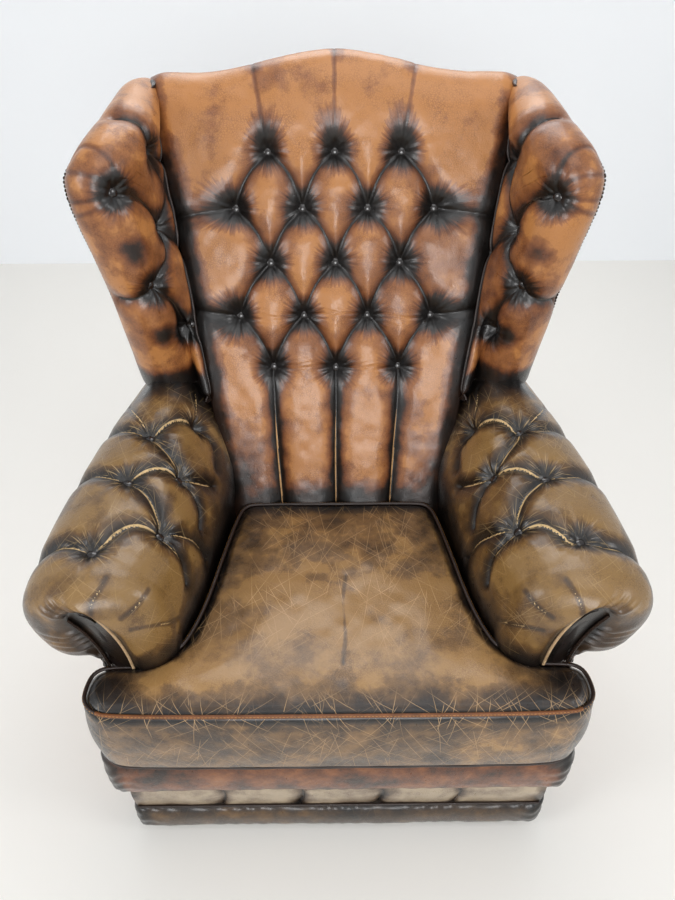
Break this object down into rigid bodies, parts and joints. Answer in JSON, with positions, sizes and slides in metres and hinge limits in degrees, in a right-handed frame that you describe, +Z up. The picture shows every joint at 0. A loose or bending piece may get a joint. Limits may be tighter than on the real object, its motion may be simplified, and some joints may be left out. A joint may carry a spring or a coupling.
{
  "type": "buttoned wing chair",
  "caption": "High-backed leather wing chair with a buttoned back, rolled arms and a loose T-shaped seat cushion, worn and cracked.",
  "frame": {"origin": "on the floor, under the middle of the chair's box", "axes": "+Z up; the sitter looks along -Y; +X to the right of someone who faces the chair"},
  "size_m": [0.878, 0.842, 1.085],
  "materials": {
    "tan_leather": "rubbed antique tan, near black round the buttons and seams",
    "worn_leather": "worn olive brown, creased and scratched to pale orange",
    "facing_leather": "dark and smooth",
    "button_leather": "dark and glossy",
    "beech": "sawn",
    "spring_steel": "drawn wire",
    "hessian": "coarse weave",
    "foam": "open foam",
    "lining": "matt weave",
    "glide": "matt"
  },
  "bodies": {
    "root": {"arm_facing_left": "facing_leather", "arm_facing_right": "facing_leather", "arm_padding_left": "worn_leather", "arm_padding_right": "worn_leather", "arm_post_left": "beech", "arm_post_right": "beech", "arm_rail_left": "beech", "arm_rail_right": "beech", "back_button_1_1": "button_leather", "back_button_1_2": "button_leather", "back_button_1_3": "button_leather", "back_button_2_1": "button_leather", "back_button_2_2": "button_leather", "back_button_2_3": "button_leather", "back_button_2_4": "button_leather", "back_button_3_1": "button_leather", "back_button_3_2": "button_leather", "back_button_3_3": "button_leather", "back_button_4_1": "button_leather", "back_button_4_2": "button_leather", "back_button_4_3": "button_leather", "back_button_4_4": "button_leather", "back_button_5_1": "button_leather", "back_button_5_2": "button_leather", "back_button_5_3": "button_leather", "back_padding": "tan_leather", "back_post_left": "beech", "back_post_right": "beech", "back_rail_lower": "beech", "base_band": "worn_leather", "base_roll_lower": "worn_leather", "base_roll_upper": "worn_leather", "corner_block_left": "beech", "corner_block_right": "beech", "crest_rail": "beech", "dust_cover": "lining", "glide_back_left": "glide", "glide_back_right": "glide", "glide_front_left": "glide", "glide_front_right": "glide", "outside_arm_left": "tan_leather", "outside_arm_right": "tan_leather", "outside_back": "tan_leather", "outside_wing_left": "tan_leather", "outside_wing_right": "tan_leather", "seat_cushion_core": "foam", "seat_cushion_cover": "worn_leather", "seat_deck": "hessian", "seat_rail_back": "beech", "seat_rail_front": "beech", "seat_rail_left": "beech", "seat_rail_right": "beech", "seat_spring_1": "spring_steel", "seat_spring_2": "spring_steel", "seat_spring_3": "spring_steel", "wing_padding_left": "tan_leather", "wing_padding_right": "tan_leather", "wing_rail_left": "beech", "wing_rail_right": "beech"}
  },
  "joints": []
}
